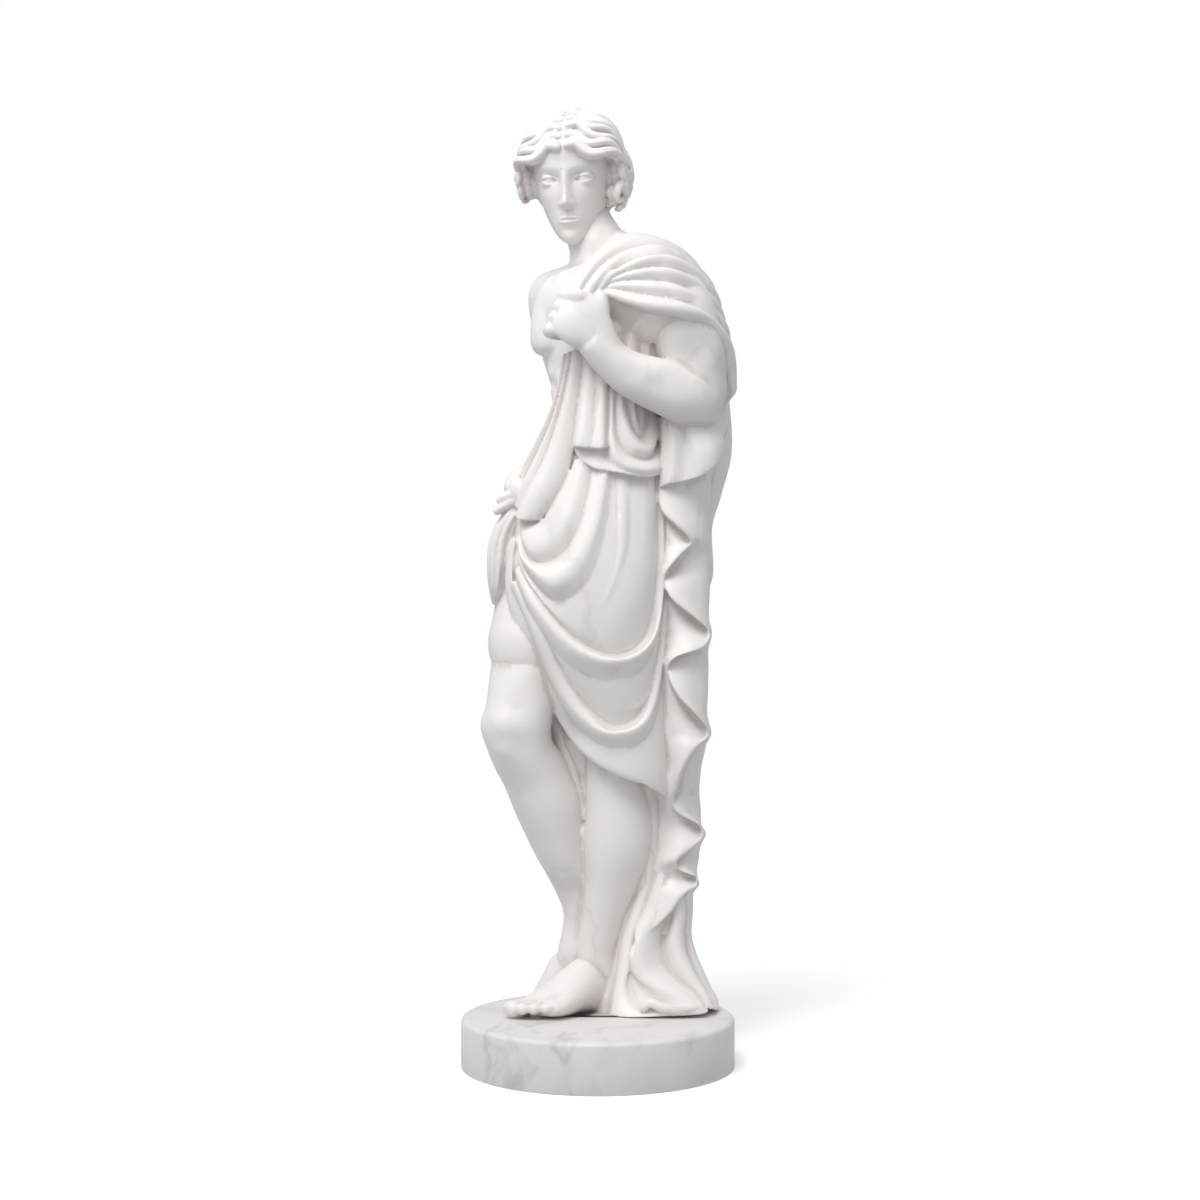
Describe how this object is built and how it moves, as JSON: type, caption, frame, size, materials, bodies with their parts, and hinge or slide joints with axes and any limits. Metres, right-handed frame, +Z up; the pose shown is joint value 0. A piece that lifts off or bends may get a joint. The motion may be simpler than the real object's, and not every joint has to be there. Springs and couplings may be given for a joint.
{
  "type": "classical marble statue",
  "caption": "Life-size standing youth in a draped cloak, carved in white marble, on a low round plinth; stands by its own weight.",
  "frame": {"origin": "centre of the plinth's underside", "axes": "+Z up along the height, -Y towards the side the picture shows, +X towards the figure's bent left elbow"},
  "size_m": [0.5019, 0.5, 1.7258],
  "materials": {
    "figure_marble": "honed white marble, faint warm grey veins",
    "plinth_marble": "honed white marble, grey and brown veins"
  },
  "bodies": {
    "root": {"figure": "figure_marble", "plinth": "plinth_marble"}
  },
  "joints": []
}
